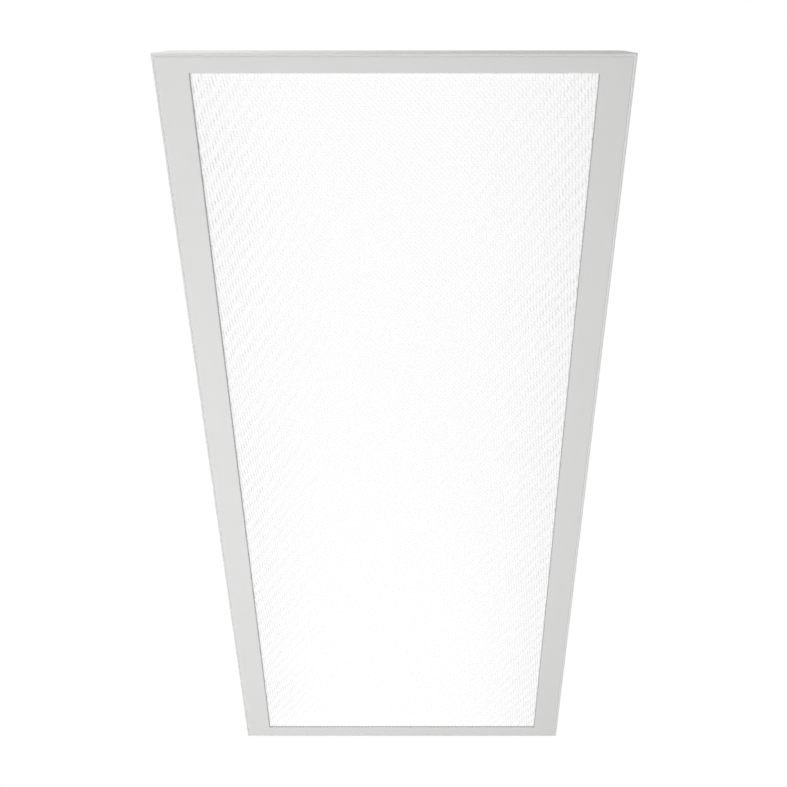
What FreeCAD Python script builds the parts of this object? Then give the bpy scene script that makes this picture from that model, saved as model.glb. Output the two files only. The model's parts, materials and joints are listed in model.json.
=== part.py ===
import FreeCAD, Part
import math
import os

# Recessed lensed troffer, two feet by four, for a lay-in grid ceiling.
# Millimetres. X runs across, Y along, Z up into the ceiling. The visible face is Z = 0.
# The origin is the middle of the face. The hinged side of the door is at -X.

# ---- driving dimensions ----
BODY_WIDTH = 603.0            # 23 3/4 in
BODY_LENGTH = 1213.0          # 47 3/4 in
BODY_DEPTH = 82.6             # 3 1/4 in
SHEET = 0.8                   # steel of the pan, end plates, tray and door
HEM_WIDTH = 2.8               # doubled edge round the opening
HEM_BEND = 0.2                # inner radius of its two bends
LEDGE_Z = 11.5                # underside of the inward ledge, the door's stop
LEDGE_REACH = 16.0            # from the outside of the wall
CORNER_SLIP = 0.4             # end plate inside the pan

DOOR_GAP = 0.4                # door to hem, all round
SIDE_RAIL = 41.6              # width of the long rails' face
END_RAIL = 19.8               # width of the short rails' face
EDGE_ROLL = 2.0               # outer radius of the door's rolled edge
FLANGE_TOP = 8.5              # top of the door's outer flange
LENS_SEAT_Z = 3.6             # top of the shelf that carries the lens
SIDE_SHELF = 12.0             # shelf under the lens along the long rails
RISER_TOP = 10.0              # top of the door's inner upstand
TIGHT_BEND = 0.4              # inner radius of the pressed bends
LENS_THICKNESS = 3.2
LENS_SLACK = 0.8              # lens edge to the upstand

HINGE_INSET = 206.5           # hinges from the body's ends
HINGE_LENGTH = 30.0           # knuckle on the housing
HINGE_EDGE = 6.0              # pin from the door's edge, so that the edge clears the hem
HINGE_Z = 3.3                 # pin above the face
PIN_RADIUS = 1.2
PIN_RUNNING_FIT = 0.05
PIN_SET_FIT = 0.02
KNUCKLE_RADIUS = 2.2
EAR_THICKNESS = 1.5
EAR_GAP = 0.3
EAR_REACH = 6.0
BRACKET_FOOT = 1.2
BRACKET_REACH = 14.0
BRACKET_SLACK = 0.6           # foot to knuckle
PIN_HEAD = 0.8
PIN_HEAD_RADIUS = 2.0
LEAF_NOTCH_SLACK = 1.5        # door flange cut away beside each knuckle

LATCH_END_INSET = 256.5       # latches from the body's ends
LATCH_INSET = 24.5            # pivot from the outside of the body
LATCH_REACH = 19.0
LATCH_THICKNESS = 1.5
LATCH_LIFT = 0.3              # cam over the ledge
LATCH_HUB = 6.0
LATCH_TIP = 4.0
STUD_RADIUS = 3.0
STUD_NECK = 1.8
STUD_HEAD = 0.8
STUD_HEAD_RADIUS = 3.2
STUD_HEAD_GAP = 0.1
BLADE_SLOT_LENGTH = 26.0      # in the ledge, where a thin blade turns the latch
BLADE_SLOT_WIDTH = 7.0

CLIP_INSET = 111.5            # tilting clips for the ceiling tees, from the body's sides
CLIP_WIDTH = 20.0
CLIP_ROOT_Z = 40.0
CLIP_HEIGHT = 18.0
CLIP_SLACK = 0.4
CLIP_CHAMFER = 4.0

TRAY_DROP = 30.6              # underside of the tray's face, below the top of the body
TRAY_SIDE_GAP = 129.5         # body side to the edge of the tray's face
TRAY_SLOPE = 18.0
TRAY_FLANGE = 18.0
TRAY_END_GAP = 41.5           # body end to tray end
END_FLANGE = 18.0             # end plate's lap under the pan's top

BOARD_ROW_PITCH = 115.0
BOARD_END_MARGIN = 7.5        # board end to tray end
BOARD_WIDTH = 24.0
BOARD_THICKNESS = 1.6
BOARD_GAP = 5.0               # between the two boards of a row
CHIP_PITCH = 37.0
CHIP_SIZE = 3.0
CHIP_HEIGHT = 0.7
BOARD_SCREW_INSET = 9.0       # from a board's outer end, past the last chip

DRIVER_LENGTH = 280.0
DRIVER_WIDTH = 40.0
DRIVER_HEIGHT = 24.0
DRIVER_EDGE = 3.0
DRIVER_X = 57.5
DRIVER_TAB = 16.0
DRIVER_TAB_THICKNESS = 1.2
TERMINAL_LENGTH = 12.0
TERMINAL_WIDTH = 24.0
TERMINAL_HEIGHT = 11.0
TERMINAL_LIFT = 6.0
TERMINAL_WAYS = 4
TERMINAL_WAY = 3.4
TERMINAL_WAY_DEPTH = 7.0

LEAD_RADIUS = 1.1             # round two-core leads from the driver to the boards
LEAD_SIDES = 8
LEAD_BEND = 5.0
LEAD_TURN = 16.0              # output block to the first lead's turn
LEAD_SPACING = 8.0            # to the turn of the lead that runs inside it
BUSHING_OFFSET = 21.0         # bushing in the tray, from the middle of its row
BUSHING_BORE = 2.9
BUSHING_BARREL = 3.9
BUSHING_FLANGE = 5.3
BUSHING_RIM = 1.0             # thickness of its flange, and its height above the tray
CONNECTOR_REACH = 11.0        # lead entry, from the middle of the board
CONNECTOR_WIDTH = 7.5
CONNECTOR_LENGTH = 6.0
CONNECTOR_HEIGHT = 2.4
LINK_LENGTH = 18.0            # bridges the two boards of a row
LINK_WIDTH = 5.0
LINK_REACH = 11.0

ACCESS_INSET = 176.5          # wiring access in the pan's top, from the near end
ACCESS_LENGTH = 90.0
ACCESS_WIDTH = 60.0
ACCESS_PLATE_LAP = 12.0
ACCESS_PLATE = 1.0
ACCESS_CORNER = 5.0
SUPPLY_HOLE_RADIUS = 11.1     # for a half-inch conduit fitting, 7/8 in
GROUND_SCREW_X = 80.0

HANGER_SIDE_INSET = 98.5      # holes for hanger wires, from the body's sides and ends
HANGER_END_INSET = 46.5
HANGER_HOLE_RADIUS = 3.2

SCREW_RADIUS = 1.6
SCREW_HOLE_SLACK = 0.1
SCREW_HEAD_RADIUS = 3.2       # across the corners
SCREW_HEAD = 1.6
SCREW_TAIL = 1.2              # beyond the last sheet
TRAY_SCREW_INSET = 85.0       # from the tray's ends
BOARD_SCREW_HEAD = 1.3        # wider head, to lap both boards at the middle

BEAD_RADIUS = 6.0
BEAD_DEPTH = 1.5
END_BEAD_INSET = 151.5        # bead end to the body's side
END_BEAD_Z = 26.0
TOP_BEAD_INSET = 346.5        # bead start from the near end, clear of the access opening
TOP_BEAD_FAR_INSET = 226.5    # bead end from the far end
TOP_BEAD_SIDE_INSET = 171.5   # beads from the body's sides
KNOCKOUT_Z = 60.0
KNOCKOUT_SCORE = 0.8
KNOCKOUT_SCORE_DEPTH = 0.4

GUSSET = 1.5
GUSSET_SIDE_REACH = 60.0
GUSSET_END_REACH = 70.0
GUSSET_SLACK = 0.5
RETAINER_SHEET = 0.6
RETAINER_BEND = 0.2
RETAINER_WIDTH = 16.0
RETAINER_INSET = 256.5        # from the body's ends
RETAINER_HOLD = 9.0           # tongue over the lens
RETAINER_DROP = 4.0

# ---- derived places ----
HALF_W = BODY_WIDTH / 2
HALF_L = BODY_LENGTH / 2
HINGE_Y = HALF_L - HINGE_INSET
LATCH_Y = HALF_L - LATCH_END_INSET
RETAINER_Y = HALF_L - RETAINER_INSET
CLIP_X = HALF_W - CLIP_INSET
TRAY_FACE_HALF = HALF_W - TRAY_SIDE_GAP
TRAY_FACE_Z = BODY_DEPTH - TRAY_DROP
TRAY_LENGTH = BODY_LENGTH - 2 * TRAY_END_GAP
TRAY_SCREW_Y = TRAY_LENGTH / 2 - TRAY_SCREW_INSET
BOARD_LENGTH = (TRAY_LENGTH - BOARD_GAP) / 2 - BOARD_END_MARGIN
ACCESS_Y = ACCESS_INSET - HALF_L
HANGER_X = HALF_W - HANGER_SIDE_INSET
HANGER_Y = HALF_L - HANGER_END_INSET
END_BEAD_LENGTH = BODY_WIDTH - 2 * END_BEAD_INSET
TOP_BEAD_LENGTH = BODY_LENGTH - TOP_BEAD_INSET - TOP_BEAD_FAR_INSET
TOP_BEAD_X = HALF_W - TOP_BEAD_SIDE_INSET
TOP_BEAD_Y = (TOP_BEAD_INSET - TOP_BEAD_FAR_INSET) / 2
DOOR_HALF_W = HALF_W - HEM_WIDTH - DOOR_GAP
DOOR_HALF_L = HALF_L - HEM_WIDTH - DOOR_GAP
LOW_ZONE = LEDGE_Z + SHEET    # the mitred zone of the housing ends here
TOP_UNDER = BODY_DEPTH - SHEET
END_SHELF = SIDE_SHELF * END_RAIL / SIDE_RAIL
HINGE_X = HINGE_EDGE - DOOR_HALF_W
LEAF = KNUCKLE_RADIUS - PIN_RADIUS - PIN_RUNNING_FIT
LATCH_X = HALF_W - LATCH_INSET
LATCH_Z = LOW_ZONE + LATCH_LIFT
TRAY_TOP = TRAY_FACE_Z + SHEET
BOARD_FACE_Z = TRAY_FACE_Z - BOARD_THICKNESS
SCREW_HOLE = SCREW_RADIUS + SCREW_HOLE_SLACK
LEAD_Z = BOARD_FACE_Z - CONNECTOR_HEIGHT / 2
TERMINAL_Z = TRAY_TOP + TERMINAL_LIFT
TERMINAL_MIDDLE_Z = TERMINAL_Z + TERMINAL_HEIGHT / 2
ENDS = {"near": -1, "far": 1}
ROWS = ("left", "middle", "right")
BIG = 10.0                    # margin of wide cutting tools
PAST = 1.0                    # cutters run past a sheet by this


def vec(x, y, z):
    return FreeCAD.Vector(x, y, z)


def box(x0, x1, y0, y1, z0, z1):
    """A block between two corners, given in any order."""
    low = vec(min(x0, x1), min(y0, y1), min(z0, z1))
    return Part.makeBox(abs(x1 - x0), abs(y1 - y0), abs(z1 - z0), low)


def turned(shape, degrees):
    """The shape turned about the body's vertical middle line."""
    copy = shape.copy()
    copy.rotate(vec(0, 0, 0), vec(0, 0, 1), degrees)
    return copy


def moved(shape, x, y, z):
    copy = shape.copy()
    copy.translate(vec(x, y, z))
    return copy


def mirrored(shape, x, y):
    """The shape flipped across the middle planes where the sign is -1."""
    if x < 0:
        shape = shape.mirror(vec(0, 0, 0), vec(1, 0, 0))
    if y < 0:
        shape = shape.mirror(vec(0, 0, 0), vec(0, 1, 0))
    return shape


def solid_of(shape):
    """The one solid of a boolean result, with split faces joined again."""
    return shape.removeSplitter().Solids[0]


def save(name, *shapes):
    solids = [solid for shape in shapes for solid in shape.Solids]
    result = solids[0] if len(solids) == 1 else Part.makeCompound(solids)
    result.exportStep("parts/" + name + ".step")


def bent_sheet(points, bends, thickness, length):
    """A bent strip: its middle line runs through points in XZ, and it is length long in Y.

    bends holds the inner radius of each inner corner, in order.
    """
    nodes = [vec(x, 0, z) for x, z in points]
    half = thickness / 2
    runs = [(b - a).normalize() for a, b in zip(nodes, nodes[1:])]
    rails = {1: [], -1: []}

    def beside(point, run, side):
        return point + vec(-run.z, 0, run.x) * (side * half)

    starts = {side: beside(nodes[0], runs[0], side) for side in rails}
    firsts = dict(starts)
    for corner, bend, into, out in zip(nodes[1:-1], bends, runs, runs[1:]):
        turn = math.atan2(into.x * out.z - into.z * out.x, into.dot(out))
        hand = 1 if turn > 0 else -1
        radius = bend + half
        setback = radius * math.tan(abs(turn) / 2)
        enter = corner - into * setback
        leave = corner + out * setback
        centre = enter + vec(-into.z, 0, into.x) * (hand * radius)
        middle = centre + (corner - centre).normalize() * radius
        for side in rails:
            scale = (radius - side * hand * half) / radius
            a, m, b = [centre + (p - centre) * scale for p in (enter, middle, leave)]
            if starts[side].distanceToPoint(a) > 1e-6:
                rails[side].append(Part.makeLine(starts[side], a))
            rails[side].append(Part.Arc(a, m, b).toShape())
            starts[side] = b
    ends = {side: beside(nodes[-1], runs[-1], side) for side in rails}
    for side in rails:
        rails[side].append(Part.makeLine(starts[side], ends[side]))
    edges = rails[1] + rails[-1]
    edges += [Part.makeLine(firsts[1], firsts[-1]), Part.makeLine(ends[1], ends[-1])]
    wire = Part.Wire(Part.__sortEdges__(edges))
    strip = Part.Face(wire).extrude(vec(0, length, 0))
    return moved(strip, 0, -length / 2, 0)


def end_sector(half_w, half_l, run_x, run_y, z0, z1):
    """The +Y end's share of a mitred frame: a wedge whose sides pass the outer corners."""
    out = BIG / run_x
    back = 2.0
    corners = [
        vec(half_w + out * run_x, half_l + out * run_y, z0),
        vec(half_w - back * run_x, half_l - back * run_y, z0),
        vec(-half_w + back * run_x, half_l - back * run_y, z0),
        vec(-half_w - out * run_x, half_l + out * run_y, z0),
    ]
    face = Part.Face(Part.makePolygon(corners + corners[:1]))
    return face.extrude(vec(0, 0, z1 - z0))


def many_sided(sides, radius):
    """A regular face on Z = 0 about the origin, radius to its corners."""
    turns = [2 * math.pi * i / sides for i in range(sides)]
    corners = [vec(radius * math.cos(a), radius * math.sin(a), 0) for a in turns]
    return Part.Face(Part.makePolygon(corners + corners[:1]))


def fastener(grip, head=1.0):
    """A hexagon-headed sheet-metal screw standing on Z = 0, its shank through grip and beyond.

    head scales the head's width for a screw that also laps its neighbours.
    """
    crown = many_sided(6, SCREW_HEAD_RADIUS * head).extrude(vec(0, 0, SCREW_HEAD))
    shank = Part.makeCylinder(SCREW_RADIUS, grip + SCREW_TAIL, vec(0, 0, -grip - SCREW_TAIL))
    return solid_of(crown.fuse(shank))


def hole(x, y, radius, z0, z1):
    return Part.makeCylinder(radius, z1 - z0, vec(x, y, z0))


def centred(count, pitch):
    """Places of a row of things about zero."""
    return [(i - (count - 1) / 2) * pitch for i in range(count)]


# ---- housing ----
def rim_points(half, top):
    """Middle line of the ledge, hem and wall of one side, from the ledge inwards."""
    return [
        (half - LEDGE_REACH, LEDGE_Z + SHEET / 2),
        (half - HEM_WIDTH + SHEET / 2, LEDGE_Z + SHEET / 2),
        (half - HEM_WIDTH + SHEET / 2, SHEET / 2),
        (half - SHEET / 2, SHEET / 2),
        (half - SHEET / 2, top),
    ]


RIM_BENDS = [TIGHT_BEND, HEM_BEND, HEM_BEND, TIGHT_BEND]


def tray_screw_places():
    x = TRAY_FACE_HALF + TRAY_SLOPE + TRAY_FLANGE / 2
    return [(i * x, j * TRAY_SCREW_Y) for i in (-1, 1) for j in (-1, 1)]


def access_screw_places():
    y = ACCESS_LENGTH / 2 + ACCESS_PLATE_LAP / 2
    return [(0, ACCESS_Y - y), (0, ACCESS_Y + y)]


def hanger_places():
    return [(x * HANGER_X, y * HANGER_Y) for x in (-1, 1) for y in (-1, 1)]


def bead_tools(length, inner_z):
    """Ridge and groove of a pressed bead along X, sunk below a sheet whose underside is inner_z."""
    axis_z = inner_z - BEAD_DEPTH + BEAD_RADIUS
    start = vec(-length / 2, 0, axis_z)
    ridge = Part.makeCylinder(BEAD_RADIUS, length, start, vec(1, 0, 0))
    ridge = ridge.cut(box(-length, length, -BIG, BIG, inner_z, inner_z + 2 * BEAD_RADIUS))
    inner = length - 2 * SHEET
    groove = Part.makeCylinder(BEAD_RADIUS - SHEET, inner, vec(-inner / 2, 0, axis_z), vec(1, 0, 0))
    return ridge, groove


def rim_mitre():
    return end_sector(HALF_W, HALF_L, LEDGE_REACH, LEDGE_REACH, -BIG, LOW_ZONE)


def housing_pan():
    right = rim_points(HALF_W, TOP_UNDER + SHEET / 2)
    left = [(-x, z) for x, z in reversed(right)]
    pan = bent_sheet(right + left, RIM_BENDS + RIM_BENDS[::-1], SHEET, BODY_LENGTH)
    for angle in (0, 180):
        pan = pan.cut(turned(rim_mitre(), angle))
    for x in (-TOP_BEAD_X, TOP_BEAD_X):
        ridge, groove = [moved(turned(t, 90), x, TOP_BEAD_Y, 0)
                         for t in bead_tools(TOP_BEAD_LENGTH, TOP_UNDER)]
        pan = pan.fuse(ridge).cut(groove)
    half_x = ACCESS_WIDTH / 2
    half_y = ACCESS_LENGTH / 2
    opening = box(-half_x, half_x, ACCESS_Y - half_y, ACCESS_Y + half_y,
                  TOP_UNDER - PAST, BODY_DEPTH + PAST)
    upright = [e for e in opening.Edges if abs(e.tangentAt(e.FirstParameter).z) > 0.9]
    pan = pan.cut(opening.makeFillet(ACCESS_CORNER, upright))
    screws = tray_screw_places() + access_screw_places() + [(GROUND_SCREW_X, ACCESS_Y)]
    holes = [(x, y, SCREW_HOLE) for x, y in screws]
    holes += [(x, y, HANGER_HOLE_RADIUS) for x, y in hanger_places()]
    for x, y, radius in holes:
        pan = pan.cut(hole(x, y, radius, TOP_UNDER - PAST, BODY_DEPTH + PAST))
    slot_outer = HALF_W - HEM_WIDTH - TIGHT_BEND
    for side in (-1, 1):
        y0 = side * LATCH_Y + LATCH_TIP
        slot = box(slot_outer - BLADE_SLOT_WIDTH, slot_outer, y0, y0 + BLADE_SLOT_LENGTH,
                   LEDGE_Z - PAST, LOW_ZONE + PAST)
        pan = pan.cut(slot)
    return solid_of(pan)


def clip_window(x):
    half = CLIP_WIDTH / 2 + CLIP_SLACK
    low = CLIP_ROOT_Z - SHEET / 2 - CLIP_SLACK
    high = CLIP_ROOT_Z + CLIP_HEIGHT + CLIP_SLACK
    return box(x - half, x + half, HALF_L - BIG, HALF_L + BIG, low, high)


def end_plate():
    """The +Y end plate: hem and ledge mitred with the pan's, wall, and a flange under the top."""
    points = rim_points(HALF_L, TOP_UNDER - SHEET / 2)
    points.append((HALF_L - SHEET - END_FLANGE, TOP_UNDER - SHEET / 2))
    strip = turned(bent_sheet(points, RIM_BENDS, SHEET, BODY_WIDTH), 90)
    inner = HALF_W - SHEET - CORNER_SLIP
    back = HALF_L - SHEET - END_FLANGE - BIG
    above = box(-inner, inner, back, HALF_L + BIG, LOW_ZONE, BODY_DEPTH + BIG)
    plate = strip.common(rim_mitre().fuse(above))
    ridge, groove = bead_tools(END_BEAD_LENGTH, 0)
    for shape, keep in ((ridge, True), (groove, False)):
        tool = shape.copy()
        tool.rotate(vec(0, 0, 0), vec(1, 0, 0), -90)
        tool = moved(tool, 0, HALF_L - SHEET, END_BEAD_Z)
        plate = plate.fuse(tool) if keep else plate.cut(tool)
    for x in (-CLIP_X, CLIP_X):
        plate = plate.cut(clip_window(x))
    start = vec(0, HALF_L - KNOCKOUT_SCORE_DEPTH, KNOCKOUT_Z)
    disc = Part.makeCylinder(SUPPLY_HOLE_RADIUS, PAST, start, vec(0, 1, 0))
    core = Part.makeCylinder(SUPPLY_HOLE_RADIUS - KNOCKOUT_SCORE, PAST, start, vec(0, 1, 0))
    plate = plate.cut(disc.cut(core))
    return solid_of(plate)


def grid_clip():
    """A clip of the +Y end plate, upright in its window, its rounded root on the tilting axis."""
    wall = HALF_L - SHEET / 2
    root = Part.makeCylinder(SHEET / 2, CLIP_WIDTH, vec(-CLIP_WIDTH / 2, wall, CLIP_ROOT_Z), vec(1, 0, 0))
    blade = box(-CLIP_WIDTH / 2, CLIP_WIDTH / 2, HALF_L - SHEET, HALF_L,
                CLIP_ROOT_Z, CLIP_ROOT_Z + CLIP_HEIGHT)
    tips = [e for e in blade.Edges if abs(e.tangentAt(e.FirstParameter).y) > 0.9]
    tips = [e for e in tips if e.CenterOfMass.z > CLIP_ROOT_Z + SHEET]
    return solid_of(blade.makeChamfer(CLIP_CHAMFER, tips).fuse(root))


def access_plate():
    half_x = ACCESS_WIDTH / 2 + ACCESS_PLATE_LAP
    half_y = ACCESS_LENGTH / 2 + ACCESS_PLATE_LAP
    top = BODY_DEPTH + ACCESS_PLATE
    plate = box(-half_x, half_x, ACCESS_Y - half_y, ACCESS_Y + half_y, BODY_DEPTH, top)
    upright = [e for e in plate.Edges if abs(e.tangentAt(e.FirstParameter).z) > 0.9]
    plate = plate.makeFillet(ACCESS_CORNER, upright)
    plate = plate.cut(hole(0, ACCESS_Y, SUPPLY_HOLE_RADIUS, BODY_DEPTH - PAST, top + PAST))
    for x, y in access_screw_places():
        plate = plate.cut(hole(x, y, SCREW_HOLE, BODY_DEPTH - PAST, top + PAST))
    return solid_of(plate)


def gear_tray():
    z_top = TOP_UNDER - SHEET / 2
    z_face = TRAY_FACE_Z + SHEET / 2
    right = [
        (TRAY_FACE_HALF + TRAY_SLOPE + TRAY_FLANGE * 1.5, z_top),
        (TRAY_FACE_HALF + TRAY_SLOPE, z_top),
        (TRAY_FACE_HALF, z_face),
    ]
    left = [(-x, z) for x, z in reversed(right)]
    tray = bent_sheet(right + left, [SHEET] * 4, SHEET, TRAY_LENGTH)
    for x, y in tray_screw_places():
        tray = tray.cut(hole(x, y, SCREW_HOLE, TOP_UNDER - SHEET - PAST, TOP_UNDER + PAST))
    for x, y in driver_screw_places() + board_screw_places():
        tray = tray.cut(hole(x, y, SCREW_HOLE, TRAY_FACE_Z - PAST, TRAY_TOP + PAST))
    for row_x, way_x, y in lead_places():
        tray = tray.cut(hole(row_x + BUSHING_OFFSET, y, BUSHING_BARREL, TRAY_FACE_Z - PAST, TRAY_TOP + PAST))
    return solid_of(tray)


# ---- light source and driver ----
def board_places():
    """Row name, end name, middle of each board."""
    rows = zip(ROWS, centred(len(ROWS), BOARD_ROW_PITCH))
    y = (BOARD_LENGTH + BOARD_GAP) / 2
    return [(row, end, x, side * y) for row, x in rows for end, side in ENDS.items()]


def board_screw_places():
    """One through each board's outer end, and one between the two boards of a row."""
    outer = BOARD_LENGTH + BOARD_GAP / 2 - BOARD_SCREW_INSET
    rows = centred(len(ROWS), BOARD_ROW_PITCH)
    return [(x, y) for x in rows for y in (-outer, 0, outer)]


def led_board(x, y):
    """A board under the tray, with its row of light-emitting packages below it."""
    half_w = BOARD_WIDTH / 2
    half_l = BOARD_LENGTH / 2
    board = box(x - half_w, x + half_w, y - half_l, y + half_l, BOARD_FACE_Z, TRAY_FACE_Z)
    half = CHIP_SIZE / 2
    count = int(BOARD_LENGTH // CHIP_PITCH)
    chips = [box(x - half, x + half, y + v - half, y + v + half, BOARD_FACE_Z - CHIP_HEIGHT, BOARD_FACE_Z)
             for v in centred(count, CHIP_PITCH)]
    board = board.fuse(chips)
    for sx, sy in board_screw_places():
        if abs(sx - x) < half_w and abs(sy - y) < half_l:
            board = board.cut(hole(sx, sy, SCREW_HOLE, BOARD_FACE_Z - PAST, TRAY_FACE_Z + PAST))
    return solid_of(board)


def driver_screw_places():
    y = DRIVER_LENGTH / 2 + DRIVER_TAB / 2
    return [(DRIVER_X, -y), (DRIVER_X, y)]


def driver_case():
    half_w = DRIVER_WIDTH / 2
    half_l = DRIVER_LENGTH / 2
    case = box(DRIVER_X - half_w, DRIVER_X + half_w, -half_l, half_l, TRAY_TOP, TRAY_TOP + DRIVER_HEIGHT)
    along = [e for e in case.Edges if abs(e.tangentAt(e.FirstParameter).y) > 0.9]
    along = [e for e in along if e.CenterOfMass.z > TRAY_TOP + 1]
    case = case.makeFillet(DRIVER_EDGE, along)
    reach = half_l + DRIVER_TAB
    tab_top = TRAY_TOP + DRIVER_TAB_THICKNESS
    tabs = box(DRIVER_X - half_w, DRIVER_X + half_w, -reach, reach, TRAY_TOP, tab_top)
    case = case.fuse(tabs)
    for x, y in driver_screw_places():
        case = case.cut(hole(x, y, SCREW_HOLE, TRAY_TOP - PAST, tab_top + PAST))
    return solid_of(case)


def terminal_block(side):
    """A push-in block on one end of the driver, its wire entries facing away from it."""
    y0 = side * DRIVER_LENGTH / 2
    y1 = y0 + side * TERMINAL_LENGTH
    half_w = TERMINAL_WIDTH / 2
    block = box(DRIVER_X - half_w, DRIVER_X + half_w, y0, y1, TERMINAL_Z, TERMINAL_Z + TERMINAL_HEIGHT)
    half = TERMINAL_WAY / 2
    low = TERMINAL_MIDDLE_Z - half
    for x in terminal_ways():
        deep = y1 - side * TERMINAL_WAY_DEPTH
        block = block.cut(box(x - half, x + half, deep, y1 + side * PAST, low, low + TERMINAL_WAY))
    return solid_of(block)


# ---- wiring from the driver to the boards ----
def terminal_ways():
    return [DRIVER_X + x for x in centred(TERMINAL_WAYS, TERMINAL_WIDTH / TERMINAL_WAYS)]


def lead_places():
    """For each row of boards: its middle, its way in the block, and where its lead turns."""
    start = (DRIVER_LENGTH / 2) + TERMINAL_LENGTH + LEAD_TURN
    turns = (start, start + LEAD_SPACING, start)
    return list(zip(centred(len(ROWS), BOARD_ROW_PITCH), terminal_ways(), turns))


def lead_section(point, along, flat):
    """A lead's section, one of its flats square to a direction across it."""
    section = many_sided(LEAD_SIDES, LEAD_RADIUS / math.cos(math.pi / LEAD_SIDES))
    side = along.cross(flat)
    place = FreeCAD.Matrix(flat.x, side.x, along.x, point.x,
                           flat.y, side.y, along.y, point.y,
                           flat.z, side.z, along.z, point.z)
    flat_first = FreeCAD.Placement(vec(0, 0, 0), FreeCAD.Rotation(vec(0, 0, 1), 180 / LEAD_SIDES))
    section.Placement = FreeCAD.Placement(place).multiply(flat_first)
    return section


def lead(row_x, way_x, turn_y):
    """A lead from the bottom of its way, across the tray, down its bushing, to its connector."""
    down_x = row_x + BUSHING_OFFSET
    route = [
        vec(way_x, DRIVER_LENGTH / 2 + TERMINAL_LENGTH - TERMINAL_WAY_DEPTH, TERMINAL_MIDDLE_Z),
        vec(way_x, turn_y, TERMINAL_MIDDLE_Z),
        vec(down_x, turn_y, TERMINAL_MIDDLE_Z),
        vec(down_x, turn_y, LEAD_Z),
        vec(row_x + CONNECTOR_REACH, turn_y, LEAD_Z),
    ]
    pieces = []
    start = route[0]
    for before, corner, after in zip(route, route[1:], route[2:]):
        into = (corner - before).normalize()
        out = (after - corner).normalize()
        enter = corner - into * LEAD_BEND
        across = into.cross(out)
        pieces.append(lead_section(start, into, out).extrude(enter - start))
        pieces.append(lead_section(enter, into, out).revolve(enter + out * LEAD_BEND, across, 90))
        start = corner + out * LEAD_BEND
    pieces.append(lead_section(start, out, across).extrude(route[-1] - start))
    return solid_of(pieces[0].fuse(pieces[1:]))


def lead_bushing(x, y):
    """A push-in bushing: flange under the tray, barrel through it."""
    under = TRAY_FACE_Z - BUSHING_RIM
    top = TRAY_TOP + BUSHING_RIM
    bushing = hole(x, y, BUSHING_FLANGE, under, TRAY_FACE_Z).fuse(hole(x, y, BUSHING_BARREL, under, top))
    return solid_of(bushing.cut(hole(x, y, BUSHING_BORE, under - PAST, top + PAST)))


def lead_connector(row_x, y):
    x = row_x + CONNECTOR_REACH
    half = CONNECTOR_LENGTH / 2
    return box(x - CONNECTOR_WIDTH, x, y - half, y + half, BOARD_FACE_Z - CONNECTOR_HEIGHT, BOARD_FACE_Z)


def board_link(row_x):
    x = row_x + LINK_REACH
    half = LINK_LENGTH / 2
    return box(x - LINK_WIDTH, x, -half, half, BOARD_FACE_Z - CONNECTOR_HEIGHT, BOARD_FACE_Z)


# ---- door ----
def rail_points(half, width, shelf):
    """Middle line of a door rail from the outer flange round the face to the upstand."""
    inner = half - width + SHEET / 2
    return [
        (half - SHEET / 2, FLANGE_TOP),
        (half - SHEET / 2, SHEET / 2),
        (inner, SHEET / 2),
        (inner, LENS_SEAT_Z - SHEET / 2),
        (inner + shelf, LENS_SEAT_Z - SHEET / 2),
        (inner + shelf, RISER_TOP),
    ]


RAIL_BENDS = [EDGE_ROLL - SHEET] + [TIGHT_BEND] * 3


def door_mitre():
    return end_sector(DOOR_HALF_W, DOOR_HALF_L, SIDE_RAIL, END_RAIL, -BIG, RISER_TOP + BIG)


def side_rail():
    """The +X rail, its ends mitred."""
    points = rail_points(DOOR_HALF_W, SIDE_RAIL, SIDE_SHELF)
    rail = bent_sheet(points, RAIL_BENDS, SHEET, 2 * DOOR_HALF_L)
    for angle in (0, 180):
        rail = rail.cut(turned(door_mitre(), angle))
    return rail


def end_rail():
    """The +Y rail, its ends mitred."""
    points = rail_points(DOOR_HALF_L, END_RAIL, END_SHELF)
    strip = turned(bent_sheet(points, RAIL_BENDS, SHEET, 2 * DOOR_HALF_W), 90)
    return solid_of(strip.common(door_mitre()))


def hinge_rail():
    """The -X rail, its flange cut away round the housing's knuckles."""
    rail = turned(side_rail(), 180)
    half = HINGE_LENGTH / 2 + LEAF_NOTCH_SLACK
    for side in (-1, 1):
        notch = box(-HALF_W, HINGE_X, side * HINGE_Y - half, side * HINGE_Y + half,
                    HINGE_Z - EAR_GAP, FLANGE_TOP + PAST)
        rail = rail.cut(notch)
    return solid_of(rail)


def corner_gusset():
    """An angle plate on the inside of the face at the +X +Y corner."""
    x_out = DOOR_HALF_W - EDGE_ROLL
    y_out = DOOR_HALF_L - EDGE_ROLL
    x_in = DOOR_HALF_W - SIDE_RAIL + SIDE_SHELF + SHEET + GUSSET_SLACK
    y_in = DOOR_HALF_L - END_RAIL + END_SHELF + SHEET + GUSSET_SLACK
    corners = [
        (x_out, y_out), (x_out - GUSSET_END_REACH, y_out), (x_out - GUSSET_END_REACH, y_in),
        (x_in, y_in), (x_in, y_out - GUSSET_SIDE_REACH), (x_out, y_out - GUSSET_SIDE_REACH),
    ]
    outline = [vec(x, y, SHEET) for x, y in corners]
    face = Part.Face(Part.makePolygon(outline + outline[:1]))
    return face.extrude(vec(0, 0, GUSSET))


def lens():
    half_x = DOOR_HALF_W - SIDE_RAIL + SIDE_SHELF - LENS_SLACK
    half_y = DOOR_HALF_L - END_RAIL + END_SHELF - LENS_SLACK
    return box(-half_x, half_x, -half_y, half_y, LENS_SEAT_Z, LENS_SEAT_Z + LENS_THICKNESS)


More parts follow.
